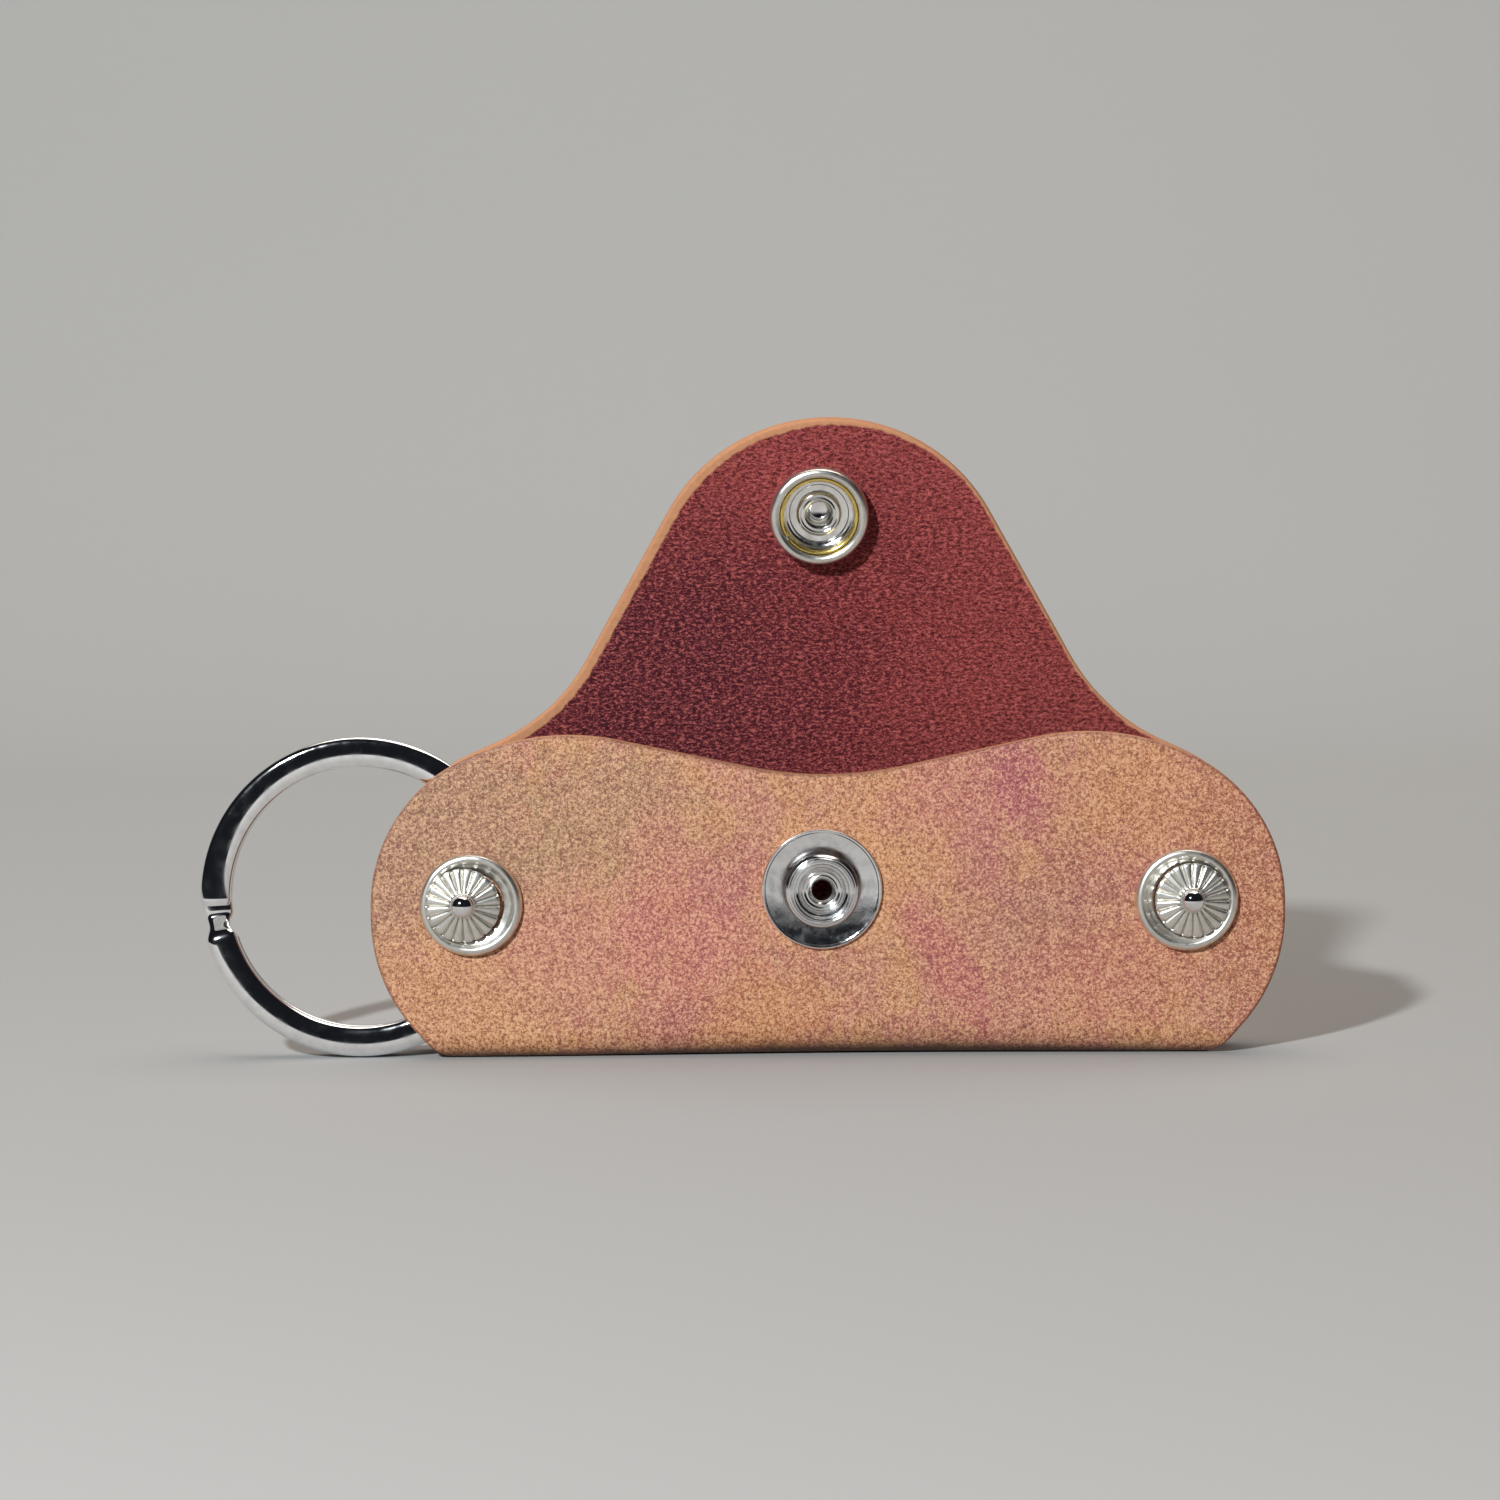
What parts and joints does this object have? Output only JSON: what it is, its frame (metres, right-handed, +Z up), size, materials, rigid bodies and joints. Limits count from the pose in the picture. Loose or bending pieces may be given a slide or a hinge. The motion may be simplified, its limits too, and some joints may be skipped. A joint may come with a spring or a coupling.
{
  "type": "key holder",
  "caption": "Folded leather key case with a snap flap, ornamental rivets and a split ring held on a rivet between its panels.",
  "frame": {"origin": "middle of the bounding box at the surface the case stands on", "axes": "+X to the right along the case, +Y from the front panel to the back panel, +Z up towards the flap's tip"},
  "size_m": [0.1082, 0.0122, 0.0636],
  "materials": {
    "leather": "mottled tan grain outside, dark red flesh side inside",
    "satin_nickel": "satin",
    "chrome": "polished",
    "brass": "bare"
  },
  "bodies": {
    "case": {"leather_case": "leather", "snap_stud": "satin_nickel", "snap_eyelet": "satin_nickel", "left_rivet_washer": "satin_nickel", "left_rivet_sunburst": "satin_nickel", "left_rivet_pin": "chrome", "left_rivet_post": "satin_nickel", "right_rivet_washer": "satin_nickel", "right_rivet_sunburst": "satin_nickel", "right_rivet_pin": "chrome", "right_rivet_post": "satin_nickel"},
    "bend_low": {"flap_bend_low": "leather"},
    "bend_mid": {"flap_bend_mid": "leather"},
    "bend_high": {"flap_bend_high": "leather"},
    "flap": {"flap": "leather", "snap_cap": "satin_nickel", "snap_cap_post": "satin_nickel", "snap_socket_rim": "satin_nickel", "snap_socket_cup": "satin_nickel", "snap_spring": "brass"},
    "ring": {"key_ring": "chrome"}
  },
  "joints": [
    {"name": "flap_bend_1", "type": "hinge", "parent": "case", "child": "bend_low", "pos_m": [0.0086, 0.00328, 0.02981], "axis": [1, 0, 0], "range_deg": [-7.5, 42.5]},
    {"name": "flap_bend_2", "type": "hinge", "parent": "bend_low", "child": "bend_mid", "pos_m": [0.0086, 0.00311, 0.0337], "axis": [1, 0, 0], "range_deg": [-7.5, 42.5]},
    {"name": "flap_bend_3", "type": "hinge", "parent": "bend_mid", "child": "bend_high", "pos_m": [0.0086, 0.00277, 0.03758], "axis": [1, 0, 0], "range_deg": [-7.5, 42.5]},
    {"name": "flap_bend_4", "type": "hinge", "parent": "bend_high", "child": "flap", "pos_m": [0.0086, 0.00226, 0.04144], "axis": [1, 0, 0], "range_deg": [-7.5, 42.5], "deforming": ["snap_spring"]},
    {"name": "ring_swing", "type": "hinge", "parent": "case", "child": "ring", "pos_m": [-0.02715, 0.00088, 0.0156], "axis": [0, 1, 0], "range_deg": [0, 15]}
  ],
  "couplings": [
    {"joint": "flap_bend_2", "follows": "flap_bend_1", "ratio": 1},
    {"joint": "flap_bend_3", "follows": "flap_bend_1", "ratio": 1},
    {"joint": "flap_bend_4", "follows": "flap_bend_1", "ratio": 1}
  ]
}
